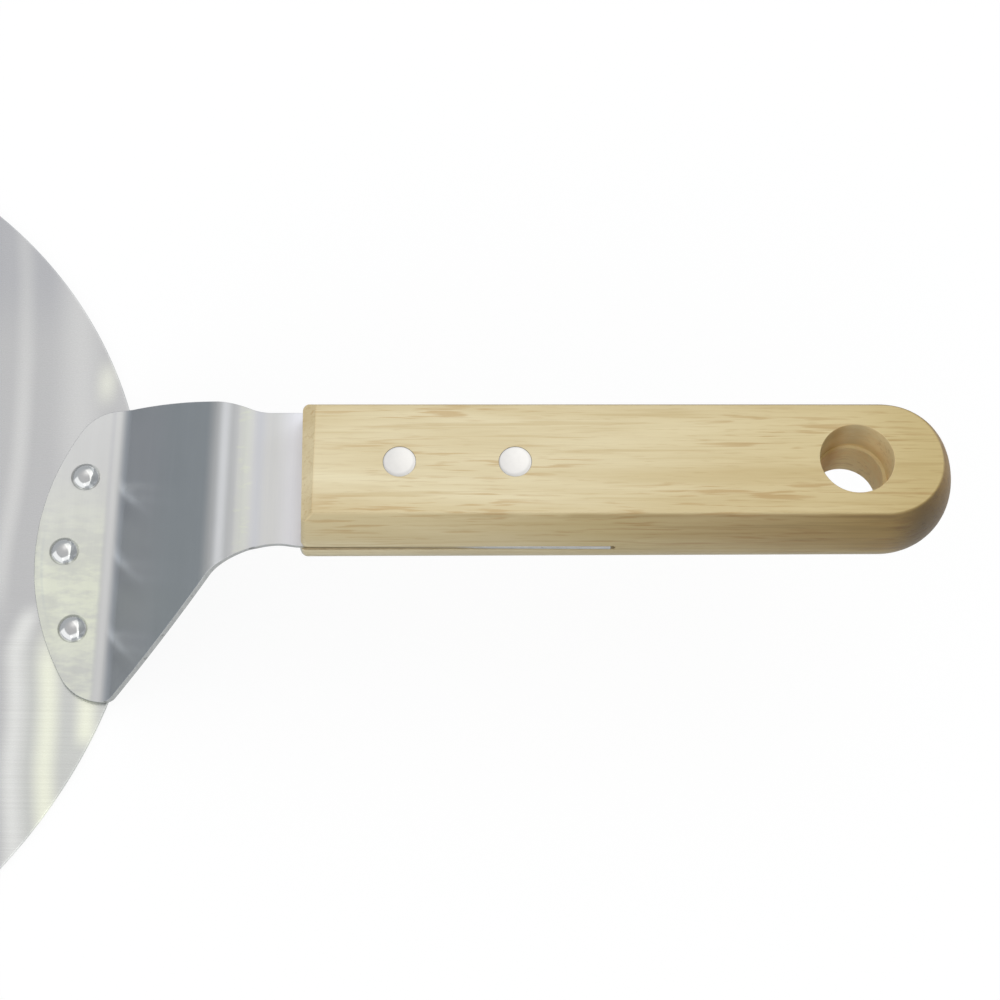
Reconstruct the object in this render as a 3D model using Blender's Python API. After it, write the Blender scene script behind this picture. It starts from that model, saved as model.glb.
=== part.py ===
"""Round cake lifter: a thin steel disc, a cranked steel shank and a riveted wooden grip.

Units are metres and +Z is up. The origin is the centre of the disc's underside, the grip lies
towards +X, and the lifter is the same on both sides of the plane Y = 0, but for the grip's rivets,
which lie a little towards -Y.
"""

import math

import bmesh
import bpy
from mathutils import Vector

# Fits and cuts
FIT_GAP = 0.0003  # air between two pieces that touch on the real lifter
OVERRUN = 0.002  # how far a cut runs on past the face that it opens
WELD_DISTANCE = 0.000002  # points closer than this are one point

# Blade, a plain disc of sheet steel
BLADE_DIAMETER = 0.254
BLADE_THICKNESS = 0.001
BLADE_EDGE_ROUND = 0.0003

# Shank, one blank of sheet steel that is folded twice: foot, riser, neck and tang
SHEET_THICKNESS = 0.0012
FOOT_OVERLAP = 0.0268  # from the blade's rim in to the foot's tip
FOOT_LENGTH = 0.0185  # flat stretch, from the tip to the low bend
FOOT_TIP_RADIUS = 0.065
FOOT_CORNER_RADIUS = 0.012
LOW_BEND_RADIUS = 0.0045  # both bends are measured at the middle of the sheet
RISER_LENGTH = 0.0462  # straight stretch between the bends
RISER_WIDTH_LOW = 0.0772  # between the sides, carried on past the corners to the low bend's end
RISER_WIDTH_HIGH = 0.0436  # between the sides, where the high bend starts
RISER_SIDE_BULGE = 0.00055  # how far each side bows out between those two widths
HIGH_BEND_RADIUS = 0.01
NECK_LENGTH = 0.0138  # from the high bend to the grip's front end
NECK_FILLET_RADIUS = 0.011
TANG_LENGTH = 0.0696  # inside the grip
TANG_INSET = 0.0001  # how far the tang's sides lie inside the grip's
TANG_CORNER_RADIUS = 0.002
RISER_ANGLE = math.radians(58)  # to the blade
GRIP_PITCH = math.radians(2.86)  # the neck, tang and grip climb this much towards the hand

# Rivets that hold the foot to the blade
FOOT_RIVET_MARGIN = 0.0072  # from the foot's edge to a rivet's centre
FOOT_RIVET_SPREAD = math.radians(20.6)  # between neighbours, seen from the tip arc's centre
FOOT_RIVET_HEAD_DIAMETER = 0.0073
FOOT_RIVET_HEAD_HEIGHT = 0.0024
FOOT_RIVET_STEM_DIAMETER = 0.004
FOOT_RIVET_TAIL_DIAMETER = 0.006
FOOT_RIVET_TAIL_SHARE = 0.7  # of the blade's thickness, the depth of the flush tail

# Grip, one piece of wood with a saw kerf for the tang
GRIP_LENGTH = 0.1477
GRIP_WIDTH = 0.0337  # at mid-thickness, where the bulging sides are widest
GRIP_FACE_WIDTH = 0.0265  # of the flat top and bottom
GRIP_THICKNESS = 0.0232
GRIP_FRONT_CHAMFER = 0.0029  # on the front end's top and bottom edges
GRIP_FRONT_ROUND = 0.0012  # on the front end's side edges
GRIP_FRONT_LEAN = 0.0012  # how far the front end's bottom reaches out past its top
GRIP_EDGE_ROUND = 0.0008  # along the flat faces
KERF_END_GAP = 0.001  # left between the tang's end and the end of the kerf

# Hanging hole, bored from both faces
HOLE_FROM_END = 0.0229  # from the grip's round end to the hole's centre
HOLE_DIAMETER = 0.0166  # in the upper part
HOLE_LEDGE = 0.0005  # how much less the lower part's radius is
HOLE_DRIFT = 0.0002  # how far the lower part's centre lies towards the front
HOLE_LEDGE_SHARE = 0.46  # of the grip's thickness, the depth of the ledge below the top face

# Rivets that hold the grip to the tang
GRIP_RIVET_DIAMETER = 0.0074
GRIP_RIVET_FROM_FRONT = 0.022  # from the grip's front end to the first rivet's centre
GRIP_RIVET_FROM_TANG_END = 0.0216  # from the second rivet's centre
GRIP_RIVET_DRIFT = 0.0008  # how far they lie towards -Y from the grip's middle
GRIP_RIVET_DOME = 0.0003

# How finely the round shapes are faceted
BLADE_SIDES = 144
RIVET_SIDES = 32
HOLE_SIDES = 48
BEND_STEPS = 8
DOME_STEPS = 6
ROUND_STEPS = 3
BARREL_STEPS = 12
GRIP_END_STEPS = 32
TIP_STEPS = 16
SMOOTH_BELOW = math.radians(32)

# Sizes that follow from the ones above
BLADE_RADIUS = BLADE_DIAMETER / 2
FOOT_UNDERSIDE = BLADE_THICKNESS + FIT_GAP
FOOT_TOP = FOOT_UNDERSIDE + SHEET_THICKNESS
FOOT_TIP_X = BLADE_RADIUS - FOOT_OVERLAP
HIGH_BEND_ANGLE = RISER_ANGLE - GRIP_PITCH
RISER_START = FOOT_LENGTH + LOW_BEND_RADIUS * RISER_ANGLE
RISER_END = RISER_START + RISER_LENGTH
NECK_START = RISER_END + HIGH_BEND_RADIUS * HIGH_BEND_ANGLE
GRIP_START = NECK_START + NECK_LENGTH
TANG_END = GRIP_START + TANG_LENGTH
TANG_WIDTH = GRIP_WIDTH - 2 * TANG_INSET
GRIP_ARC_X = GRIP_LENGTH - GRIP_WIDTH / 2
GRIP_TOP = GRIP_THICKNESS / 2

# The strip from the foot's tip to the tang's end: the length of each stretch and how far it turns
STRETCHES = (
    (FOOT_LENGTH, 0),
    (LOW_BEND_RADIUS * RISER_ANGLE, RISER_ANGLE),
    (RISER_LENGTH, 0),
    (HIGH_BEND_RADIUS * HIGH_BEND_ANGLE, -HIGH_BEND_ANGLE),
    (NECK_LENGTH + TANG_LENGTH, 0),
)


def clear_scene():
    """Take away what the scene holds at the start."""
    for item in list(bpy.data.objects):
        bpy.data.objects.remove(item)


def finish_material(name, colour, roughness, metallic):
    """One plain finish for one sub-part."""
    material = bpy.data.materials.new(name)
    material.use_nodes = True
    shader = material.node_tree.nodes["Principled BSDF"]
    shader.inputs["Base Color"].default_value = (*colour, 1)
    shader.inputs["Roughness"].default_value = roughness
    shader.inputs["Metallic"].default_value = metallic
    return material


def object_from(name, bm, material=None):
    """Turn a finished bmesh into a named object with outward faces."""
    bmesh.ops.remove_doubles(bm, verts=bm.verts, dist=WELD_DISTANCE)
    bmesh.ops.recalc_face_normals(bm, faces=bm.faces)
    mesh = bpy.data.meshes.new(name)
    bm.to_mesh(mesh)
    bm.free()
    mesh.shade_smooth()
    mesh.set_sharp_from_angle(angle=SMOOTH_BELOW)
    if material:
        mesh.materials.append(material)
    item = bpy.data.objects.new(name, mesh)
    bpy.context.collection.objects.link(item)
    return item


def place(item, location, parent=None):
    """Put an object at its place, in its parent's frame where it has one."""
    item.location = location
    item.parent = parent
    return item


def cut(target, cutter):
    """Take the cutter's shape out of the target."""
    cutter.hide_render = True
    cutter.display_type = "WIRE"
    boolean = target.modifiers.new(cutter.name, "BOOLEAN")
    boolean.operation = "DIFFERENCE"
    boolean.solver = "EXACT"
    boolean.object = cutter


def heading(start, end):
    """The direction from one point of a plane to another, as an angle."""
    return math.atan2(end[1] - start[1], end[0] - start[0])


def meeting_point(first, first_reach, second, second_reach):
    """The point at set distances from two others, to the left of the way from the first to the second."""
    gap = (second - first).length
    along = (gap**2 + first_reach**2 - second_reach**2) / (2 * gap)
    forward = (second - first) / gap
    aside = Vector((-forward.y, forward.x))
    return first + forward * along + aside * math.sqrt(first_reach**2 - along**2)


def arc(centre, radius, start, end, steps):
    """Points of an arc in a plane, both ends included."""
    angles = [start + (end - start) * i / steps for i in range(steps + 1)]
    return [Vector((centre[0] + radius * math.cos(a), centre[1] + radius * math.sin(a))) for a in angles]


def chain(bm, points, closed=False):
    """A row of points joined by edges."""
    verts = [bm.verts.new(p) for p in points]
    edges = [bm.edges.new(pair) for pair in zip(verts, verts[1:])]
    if closed:
        edges.append(bm.edges.new((verts[-1], verts[0])))
    return verts, edges


def turned(name, profile, sides, material=None):
    """A piece turned about its own Z axis from a profile of radius and height."""
    bm = bmesh.new()
    verts, edges = chain(bm, [(radius, 0, height) for radius, height in profile])
    bmesh.ops.spin(
        bm, geom=verts + edges, cent=(0, 0, 0), axis=(0, 0, 1), angle=math.tau, steps=sides
    )
    return object_from(name, bm, material)


def dome_profile(rim_radius, rim_height, rise):
    """The quarter of a shallow dome from its crown down to its rim, or up to it for a negative rise."""
    ball = (rim_radius**2 + rise**2) / (2 * abs(rise))
    half_angle = math.asin(min(rim_radius / ball, 1))
    side = math.copysign(1, rise)
    centre = rim_height + rise - side * ball
    points = []
    for step in range(DOME_STEPS + 1):
        angle = half_angle * step / DOME_STEPS
        points.append((ball * math.sin(angle), centre + side * ball * math.cos(angle)))
    return points


def box(name, low, high):
    """A plain block between two corners, for a cut."""
    bm = bmesh.new()
    bmesh.ops.create_cube(bm, size=1)
    low = Vector(low)
    high = Vector(high)
    bmesh.ops.scale(bm, vec=high - low, verts=bm.verts)
    bmesh.ops.translate(bm, vec=(low + high) / 2, verts=bm.verts)
    return object_from(name, bm)


def bore(name, radius, low, high, sides):
    """A round drill between two heights, for a cut."""
    return turned(name, [(0, high), (radius, high), (radius, low), (0, low)], sides)


def make_blade(material):
    """The disc, with its rim softened above and below."""
    rim = BLADE_RADIUS - BLADE_EDGE_ROUND
    high = BLADE_THICKNESS - BLADE_EDGE_ROUND
    upper = arc((rim, high), BLADE_EDGE_ROUND, math.pi / 2, 0, ROUND_STEPS)
    lower = arc((rim, BLADE_EDGE_ROUND), BLADE_EDGE_ROUND, 0, -math.pi / 2, ROUND_STEPS)
    profile = [(0, BLADE_THICKNESS), *upper, *lower, (0, 0)]
    return turned("blade", profile, BLADE_SIDES, material)


def on_strip(distance):
    """The place and slope of the sheet's middle, at a distance along the strip from the foot's tip."""
    x = FOOT_TIP_X
    z = FOOT_UNDERSIDE + SHEET_THICKNESS / 2
    slope = 0
    for length, turn in STRETCHES:
        run = min(distance, length)
        bend = turn * run / length
        chord = 2 * math.sin(bend / 2) * length / turn if turn else run
        x += chord * math.cos(slope + bend / 2)
        z += chord * math.sin(slope + bend / 2)
        slope += bend
        distance -= run
    return x, z, slope


def blank_side():
    """One side of the flat blank, from the middle of the foot's tip to the tang's end."""
    low = Vector((RISER_START, RISER_WIDTH_LOW / 2))
    high = Vector((RISER_END, RISER_WIDTH_HIGH / 2))
    half_side = (high - low).length / 2
    side_radius = (half_side**2 + RISER_SIDE_BULGE**2) / (2 * RISER_SIDE_BULGE)
    side = meeting_point(high, side_radius, low, side_radius)

    # The corner lies inside both the tip's arc and the side's, and touches them.
    tip = Vector((FOOT_TIP_RADIUS, 0))
    corner_reach = side_radius - FOOT_CORNER_RADIUS
    corner = meeting_point(side, corner_reach, tip, FOOT_TIP_RADIUS - FOOT_CORNER_RADIUS)
    tip_end = heading(tip, corner)
    side_start = heading(side, corner)
    outline = arc(tip, FOOT_TIP_RADIUS, math.pi, tip_end, TIP_STEPS)
    outline += arc(corner, FOOT_CORNER_RADIUS, tip_end, side_start, BEND_STEPS)[1:]

    # The fillet lies outside the side's arc and the tang's side, and eases one into the other.
    half_tang = TANG_WIDTH / 2
    fillet_y = half_tang + NECK_FILLET_RADIUS
    reach = side_radius + NECK_FILLET_RADIUS
    fillet = Vector((side.x + math.sqrt(reach**2 - (fillet_y - side.y) ** 2), fillet_y))
    side_end = heading(side, fillet)
    outline += arc(side, side_radius, side_start, side_end, TIP_STEPS)[1:]
    outline += arc(fillet, NECK_FILLET_RADIUS, side_end - math.pi, -math.pi / 2, BEND_STEPS)[1:]

    end = Vector((TANG_END - TANG_CORNER_RADIUS, half_tang - TANG_CORNER_RADIUS))
    return outline + arc(end, TANG_CORNER_RADIUS, math.pi / 2, 0, ROUND_STEPS)


def bend_lines():
    """Distances along the strip at which the sheet is creased."""
    lines = []
    for start, end in ((FOOT_LENGTH, RISER_START), (RISER_END, NECK_START)):
        lines += [start + (end - start) * step / BEND_STEPS for step in range(BEND_STEPS + 1)]
    return lines


def make_shank(material):
    """The blank is cut out flat, given its thickness, creased and folded."""
    bm = bmesh.new()
    one_side = blank_side()
    other_side = [Vector((p.x, -p.y)) for p in reversed(one_side[1:])]
    verts = [bm.verts.new((p.x, p.y, -SHEET_THICKNESS / 2)) for p in one_side + other_side]
    face = bm.faces.new(verts)
    grown = bmesh.ops.extrude_face_region(bm, geom=[face], use_keep_orig=True)
    top = [part for part in grown["geom"] if isinstance(part, bmesh.types.BMVert)]
    bmesh.ops.translate(bm, vec=(0, 0, SHEET_THICKNESS), verts=top)
    for line in bend_lines():
        parts = bm.verts[:] + bm.edges[:] + bm.faces[:]
        bmesh.ops.bisect_plane(bm, geom=parts, plane_co=(line, 0, 0), plane_no=(1, 0, 0))
    for vert in bm.verts:
        x, z, slope = on_strip(vert.co.x)
        above = vert.co.z
        vert.co = (x - above * math.sin(slope), vert.co.y, z + above * math.cos(slope))
    return object_from("shank", bm, material)


def foot_rivet_places():
    """The rivets follow the foot's curved tip: one in the middle and one to each side."""
    radius = FOOT_TIP_RADIUS - FOOT_RIVET_MARGIN
    centre = FOOT_TIP_X + FOOT_TIP_RADIUS
    angles = [FOOT_RIVET_SPREAD * step for step in (0, 1, -1)]
    return [(centre - radius * math.cos(a), radius * math.sin(a), 0) for a in angles]


def foot_rivet_profile():
    """A round head on the foot, a stem, and a tail that is flush with the blade's underside."""
    stem = FOOT_RIVET_STEM_DIAMETER / 2
    tail = FOOT_RIVET_TAIL_DIAMETER / 2
    seat = FOOT_TOP + FIT_GAP
    dome = dome_profile(FOOT_RIVET_HEAD_DIAMETER / 2, seat, FOOT_RIVET_HEAD_HEIGHT)
    tail_top = BLADE_THICKNESS * FOOT_RIVET_TAIL_SHARE
    return dome + [(stem, seat), (stem, tail_top), (tail, 0), (0, 0)]


def foot_rivet_drill():
    """The hole for a foot rivet: the stem's with the fit around it, and the tail's countersink."""
    stem = FOOT_RIVET_STEM_DIAMETER / 2 + FIT_GAP
    tail = FOOT_RIVET_TAIL_DIAMETER / 2 + FIT_GAP
    tail_top = BLADE_THICKNESS * FOOT_RIVET_TAIL_SHARE
    high = FOOT_TOP + OVERRUN
    return [(0, high), (stem, high), (stem, tail_top), (tail, 0), (tail, -OVERRUN), (0, -OVERRUN)]


def grip_half_section(inset, rounding):
    """Half of the grip's cross-section, from the top's middle down the bulging side to the bottom's."""
    top = GRIP_TOP - inset
    widest = GRIP_WIDTH / 2 - inset
    bulge = (GRIP_WIDTH - GRIP_FACE_WIDTH) / 2
    side_radius = (top**2 + bulge**2) / (2 * bulge)
    side_centre = widest - side_radius
    edge_z = top - rounding
    edge_y = side_centre + math.sqrt((side_radius - rounding) ** 2 - edge_z**2)
    meeting = math.atan2(edge_z, edge_y - side_centre)
    points = [Vector((0, top))]
    points += arc((edge_y, edge_z), rounding, math.pi / 2, meeting, ROUND_STEPS)
    points += arc((side_centre, 0), side_radius, meeting, -meeting, BARREL_STEPS)[1:-1]
    points += arc((edge_y, -edge_z), rounding, -meeting, -math.pi / 2, ROUND_STEPS)
    points.append(Vector((0, -top)))
    return points


def grip_ring(bm, x, inset):
    """The grip's whole cross-section at one place along it, as a closed row of edges."""
    half = grip_half_section(inset, GRIP_EDGE_ROUND)
    other = [Vector((-p.x, p.y)) for p in reversed(half[1:-1])]
    return chain(bm, [(x, p.x, p.y) for p in half + other], closed=True)[1]


def trim_grip_front(bm, side):
    """Plane the chamfer off the front end's top edge for side 1, or its bottom edge for side -1."""
    parts = bm.verts[:] + bm.edges[:] + bm.faces[:]
    corner = (GRIP_FRONT_CHAMFER, 0, side * GRIP_TOP)
    planed = bmesh.ops.bisect_plane(
        bm, geom=parts, plane_co=corner, plane_no=(-1, 0, side), clear_outer=True
    )
    edges = [part for part in planed["geom_cut"] if isinstance(part, bmesh.types.BMEdge)]
    bmesh.ops.contextual_create(bm, geom=edges)


def make_grip(material):
    """A front end with eased edges, a barrel-sided body and a round end, along the grip's own X."""
    bm = bmesh.new()
    last = []
    for step in range(ROUND_STEPS + 1):
        angle = math.pi / 2 * step / ROUND_STEPS
        back = GRIP_FRONT_ROUND * (1 - math.cos(angle))
        inset = GRIP_FRONT_ROUND * (1 - math.sin(angle))
        ring = grip_ring(bm, back, inset)
        if last:
            bmesh.ops.bridge_loops(bm, edges=last + ring)
        else:
            bmesh.ops.contextual_create(bm, geom=ring)
        last = ring
    rear = grip_ring(bm, GRIP_ARC_X, 0)
    bmesh.ops.bridge_loops(bm, edges=last + rear)
    half = grip_half_section(0, GRIP_EDGE_ROUND)
    verts, edges = chain(bm, [(GRIP_ARC_X, p.x, p.y) for p in half])
    bmesh.ops.spin(
        bm,
        geom=verts + edges,
        cent=(GRIP_ARC_X, 0, 0),
        axis=(0, 0, 1),
        angle=-math.pi,
        steps=GRIP_END_STEPS,
    )
    bmesh.ops.remove_doubles(bm, verts=bm.verts, dist=WELD_DISTANCE)
    for side in (1, -1):
        trim_grip_front(bm, side)
    for vert in bm.verts:
        if vert.co.x < GRIP_ARC_X / 2:
            vert.co.x -= GRIP_FRONT_LEAN * (GRIP_TOP - vert.co.z) / GRIP_THICKNESS
    return object_from("grip", bm, material)


def make_kerf(seat):
    """The saw cut for the tang, open at the front and at both sides."""
    half = SHEET_THICKNESS / 2 + FIT_GAP
    side = GRIP_WIDTH / 2 + OVERRUN
    end = TANG_LENGTH + KERF_END_GAP
    return place(box("kerf_cut", (-OVERRUN, -side, -half), (end, side, half)), (0, 0, 0), seat)


def make_hanging_drills(seat):
    """The wider bore from the top face down to the ledge, and the narrower one right through."""
    radius = HOLE_DIAMETER / 2
    ledge = GRIP_TOP - GRIP_THICKNESS * HOLE_LEDGE_SHARE
    x = GRIP_LENGTH - HOLE_FROM_END
    high = GRIP_TOP + OVERRUN
    upper = bore("hanging_hole_upper_cut", radius, ledge, high, HOLE_SIDES)
    lower = bore("hanging_hole_lower_cut", radius - HOLE_LEDGE, -high, high, HOLE_SIDES)
    return place(upper, (x, 0, 0), seat), place(lower, (x - HOLE_DRIFT, 0, 0), seat)


def grip_rivet_profile():
    """A plain pin whose two ends are hammered to faint domes, flush with the grip's faces."""
    radius = GRIP_RIVET_DIAMETER / 2
    crown = dome_profile(radius, GRIP_TOP, GRIP_RIVET_DOME)
    foot = dome_profile(radius, -GRIP_TOP, -GRIP_RIVET_DOME)
    return crown + foot[::-1]


def make_grip_seat():
    """The grip's own frame: on the tang's middle, at the grip's front end, tilted with the tang."""
    x, z, slope = on_strip(GRIP_START)
    seat = bpy.data.objects.new("grip_seat", None)
    bpy.context.collection.objects.link(seat)
    seat.location = (x, 0, z)
    seat.rotation_euler = (0, -slope, 0)
    return seat


def main():
    clear_scene()
    blade = make_blade(finish_material("blade_steel", (0.56, 0.57, 0.57), 0.36, 1))
    shank = make_shank(finish_material("shank_steel", (0.48, 0.49, 0.48), 0.3, 1))
    seat = make_grip_seat()
    grip = place(make_grip(finish_material("pale_wood", (0.72, 0.6, 0.37), 0.6, 0)), (0, 0, 0), seat)
    cut(grip, make_kerf(seat))
    for drill in make_hanging_drills(seat):
        cut(grip, drill)

    head_finish = finish_material("polished_steel", (0.6, 0.6, 0.58), 0.12, 1)
    for number, spot in enumerate(foot_rivet_places(), 1):
        rivet = turned(f"foot_rivet_{number}", foot_rivet_profile(), RIVET_SIDES, head_finish)
        place(rivet, spot)
        drill = place(turned(f"foot_rivet_cut_{number}", foot_rivet_drill(), RIVET_SIDES), spot)
        cut(blade, drill)
        cut(shank, drill)

    pin_finish = finish_material("bright_aluminium", (0.84, 0.84, 0.83), 0.35, 1)
    reach = GRIP_TOP + OVERRUN
    for number, x in enumerate((GRIP_RIVET_FROM_FRONT, TANG_LENGTH - GRIP_RIVET_FROM_TANG_END), 1):
        spot = (x, -GRIP_RIVET_DRIFT, 0)
        rivet = turned(f"grip_rivet_{number}", grip_rivet_profile(), RIVET_SIDES, pin_finish)
        place(rivet, spot, seat)
        hole_radius = GRIP_RIVET_DIAMETER / 2 + FIT_GAP
        drill = bore(f"grip_rivet_cut_{number}", hole_radius, -reach, reach, RIVET_SIDES)
        place(drill, spot, seat)
        cut(grip, drill)
        cut(shank, drill)


main()
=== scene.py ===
import math

import bmesh
import bpy
from mathutils import Matrix, Vector


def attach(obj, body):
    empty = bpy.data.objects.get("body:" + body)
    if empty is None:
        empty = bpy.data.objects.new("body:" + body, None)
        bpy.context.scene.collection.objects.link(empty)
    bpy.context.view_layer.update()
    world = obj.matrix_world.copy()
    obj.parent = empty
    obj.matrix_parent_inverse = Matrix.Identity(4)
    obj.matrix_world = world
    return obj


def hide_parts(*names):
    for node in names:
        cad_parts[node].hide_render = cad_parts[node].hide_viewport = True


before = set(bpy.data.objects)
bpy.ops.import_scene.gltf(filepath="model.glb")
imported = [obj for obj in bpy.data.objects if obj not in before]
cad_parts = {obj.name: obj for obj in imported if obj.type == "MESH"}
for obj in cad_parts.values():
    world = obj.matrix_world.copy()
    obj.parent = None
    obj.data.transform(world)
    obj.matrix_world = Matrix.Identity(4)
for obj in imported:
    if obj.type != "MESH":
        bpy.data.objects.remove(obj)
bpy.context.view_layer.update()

# Sizes in metres. +X runs from the disc to the grip, +Z is up.
DISC_RADIUS = 0.127
DISC_THICKNESS = 0.001
DISC_EDGE_ROUND = 0.0003
DISC_RIM_BAND = 0.0006  # a ring of faces that keeps the flat face's shading flat
DISC_SIDES = 256

SHEET = 0.0012
SHEET_EDGE_ROUND = 0.00016
FOOT_TIP_X = 0.1002
FOOT_LIFT = 0.00102  # the foot's underside, pressed onto the disc
FOOT_LENGTH = 0.01834
FOOT_TIP_RADIUS = 0.065
FOOT_TIP_STEPS = 26
FOOT_CORNER_RADIUS = 0.012
FOOT_CORNER_STEPS = 20
LOW_BEND_RADIUS = 0.0045
LOW_BEND_STEPS = 14
RISER_ANGLE = math.radians(58)
RISER_LENGTH = 0.0465
RISER_HALF_LOW = 0.0386
RISER_HALF_HIGH = 0.022
RISER_SIDE_BULGE = 0.00055
RISER_SIDE_STEPS = 24
HIGH_BEND_RADIUS = 0.01
HIGH_BEND_STEPS = 20
NECK_LENGTH = 0.01365
NECK_FILLET_RADIUS = 0.013
NECK_FILLET_STEPS = 16
NECK_DIP = 0.0005  # how much the neck is filed away on its near side
NECK_DIP_BACK = 0.0055  # from the grip to the middle of that dip
NECK_DIP_REACH = 0.005
NECK_DIP_STEPS = 6  # to each side of its middle
TANG_LENGTH = 0.06975
TANG_HALF_WIDTH = 0.01675
TANG_END_HALF_WIDTH = 0.01705  # a hair proud of the wood

GRIP_PITCH = math.radians(2.86)
GRIP_LENGTH = 0.14772
GRIP_HALF_WIDTH = 0.01685
GRIP_FACE_HALF_WIDTH = 0.01325
GRIP_HALF_THICKNESS = 0.0116
GRIP_LAYERS = 8  # in each half of the thickness
GRIP_LOW_SPREAD = 1.035  # how much wider the lower half is at the front end
GRIP_ROUND_CENTRE = GRIP_LENGTH - GRIP_HALF_WIDTH
GRIP_END_FULLNESS = 2.14  # 2 would be a plain half circle, more is fuller
GRIP_END_STEPS = 48
GRIP_EDGE_ROUND = 0.0007
GRIP_FRONT_CHAMFER = 0.0029
GRIP_FRONT_LEAN = 0.0008  # how far the front end's bottom reaches out past its top
GRIP_FRONT_SKEW = 0.022  # how far the chamfer's lower edge is turned, in radians
GRIP_FRONT_SKEW_PIVOT = 0.00565
GRIP_FRONT_ROWS = 6  # of points between the middle and the chamfer
GRIP_FRONT_ROUND = 0.0016
JAW_ROUND = 0.0015  # along the front end's bottom
JAW_REACH = 0.0003  # how far the wood below the kerf stands out past the wood above it
ROUND_STEPS = 5
KERF_AIR = 0.00005
KERF_END_GAP = 0.001
KERF_CORNER = 0.6  # share of the kerf's half height that is rounded at its end
FRONT_CLEAR = 0.004  # how far a tool stands out of the grip's front end

HOLE_FROM_END = 0.02277
HOLE_RADIUS = 0.0083
HOLE_LEDGE_DEPTH = 0.0107  # below the top face
HOLE_LEDGE = 0.0005
HOLE_DRIFT = 0.0002  # between the bores from the two faces
HOLE_SIDES = 96
# The hole's outline: how far each point is outside its bore and above the face or the ledge
HOLE_TOP_MOUTH = ((0.001, 0.0008), (0.00018, 0.00002), (0.00005, -0.0001), (0, -0.0003))
HOLE_LEDGE_EDGE = ((0, 0.0002), (-0.0001, 0.00006))
HOLE_LIP = (
    (0.0001, 0), (-0.00012, -0.00008), (-0.0002, -0.0003), (-0.00012, -0.0006), (0, -0.0008),
)
HOLE_LOW_MOUTH = ((0, 0.0004), (0.0002, 0.0001), (0.0005, -0.0001), (0.0015, -0.001))

RIVET_SIDES = 64
RIVET_AIR = 0.00003
FOOT_RIVET_PLACES = ((0.1074, 0), (0.1111, 0.02034), (0.1111, -0.02034))
FOOT_RIVET_RADIUS = 0.00365
FOOT_RIVET_HEIGHT = 0.0024
FOOT_RIVET_EDGE = 0.00015  # upright stretch under the round head
FOOT_RIVET_STEM = 0.002
FOOT_RIVET_TAIL = 0.003
FOOT_RIVET_COLLAR = 0.0007  # where the tail starts to widen
TAIL_EASE = 0.0001
GRIP_RIVET_PLACES = ((0.02215, -0.0008), (0.04815, -0.0008))
GRIP_RIVET_RADIUS = 0.0037
GRIP_RIVET_DOME = 0.0002
GRIP_RIVET_ROWS = (0.1, 0.25, 0.4, 0.55, 0.7, 0.82, 0.9, 0.95)  # shares of the radius
GRIP_RIVET_EDGE = ((0.985, 0.00002), (1, 0.00008))  # share of the radius, and drop

NEAR = 0.00002  # how close counts as on a line
WELD = 0.000002  # how close counts as one point
SHEET_EDGE_ANGLE = math.radians(50)  # sharper folds are edges to round
GRIP_EDGE_ANGLE = math.radians(25)
SMOOTH_ANGLE = math.radians(32)

# The room: its floor, its camera, and its lit windows as light, azimuth, elevation, half width
# and half height in degrees
FLOOR_SIZE = 8
FLOOR_DROP = 0.0004  # below the disc's underside
CAMERA_PLACE = (0.19135, -0.19856, 0.48925)
CAMERA_LEAN = 0.04996
CAMERA_TILT = 0.415
CAMERA_LENS = 75.6  # in millimetres
WINDOWS = (
    ((0.85, 0.85, 0.84), 222, 22, 40, 17),
    ((0.85, 0.85, 0.84), 298, 34, 34, 13),
    ((0.6, 0.6, 0.57), 28, 50, 44, 15),
    ((0.8, 0.8, 0.79), 307, 6, 6, 13),
)
WINDOW_SOFTNESS = 0.05
GLOW_COLOUR = (0.6, 0.59, 0.57)
GLOW_PLACE = (75, 62)  # azimuth and elevation in degrees
GLOW_SHARPNESS = 16


# Working by hand


def open_mesh():
    bpy.ops.object.mode_set(mode="EDIT")


def close_mesh():
    bpy.ops.object.mode_set(mode="OBJECT")


def new_piece(name, add_primitive, **sizes):
    """Let go of everything, add a primitive and name it."""
    bpy.ops.object.select_all(action="DESELECT")
    add_primitive(**sizes)
    piece = bpy.context.object
    piece.name = name
    piece.data.name = name
    return piece


def select(kind, wanted):
    """Pick the open mesh's points, edges or faces that pass a test."""
    bpy.ops.mesh.select_mode(type=kind)
    bpy.ops.mesh.select_all(action="DESELECT")
    mesh = bpy.context.object.data
    bm = bmesh.from_edit_mesh(mesh)
    for part in {"VERT": bm.verts, "EDGE": bm.edges, "FACE": bm.faces}[kind]:
        if wanted(part):
            part.select_set(True)
    bmesh.update_edit_mesh(mesh)


def select_all():
    bpy.ops.mesh.select_all(action="SELECT")


def both_ends(test):
    """A test for an edge whose two points both pass another."""
    return lambda edge: all(test(vert.co) for vert in edge.verts)


def face_outwards():
    """Turn all faces of the open mesh outwards."""
    select_all()
    bpy.ops.mesh.normals_make_consistent(inside=False)


def slice_across(place, way, **settings):
    """Cut the whole open mesh along the plane through a place that looks one way."""
    select_all()
    bpy.ops.mesh.bisect(plane_co=place, plane_no=way, threshold=WELD, **settings)


def stretch(x, y, centre=(0, 0, 0)):
    """Stretch what is selected along X and Y, away from a centre."""
    bpy.ops.transform.resize(value=(x, y, 1), center_override=centre)


def use_only(piece):
    """Select one piece and make it the active one."""
    bpy.ops.object.select_all(action="DESELECT")
    piece.select_set(True)
    bpy.context.view_layer.objects.active = piece


def apply_modifier(piece, kind, **settings):
    """Add a modifier, set it and apply it."""
    use_only(piece)
    modifier = piece.modifiers.new(kind.title(), kind)
    for name, value in settings.items():
        setattr(modifier, name, value)
    bpy.ops.object.modifier_apply(modifier=modifier.name)


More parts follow.
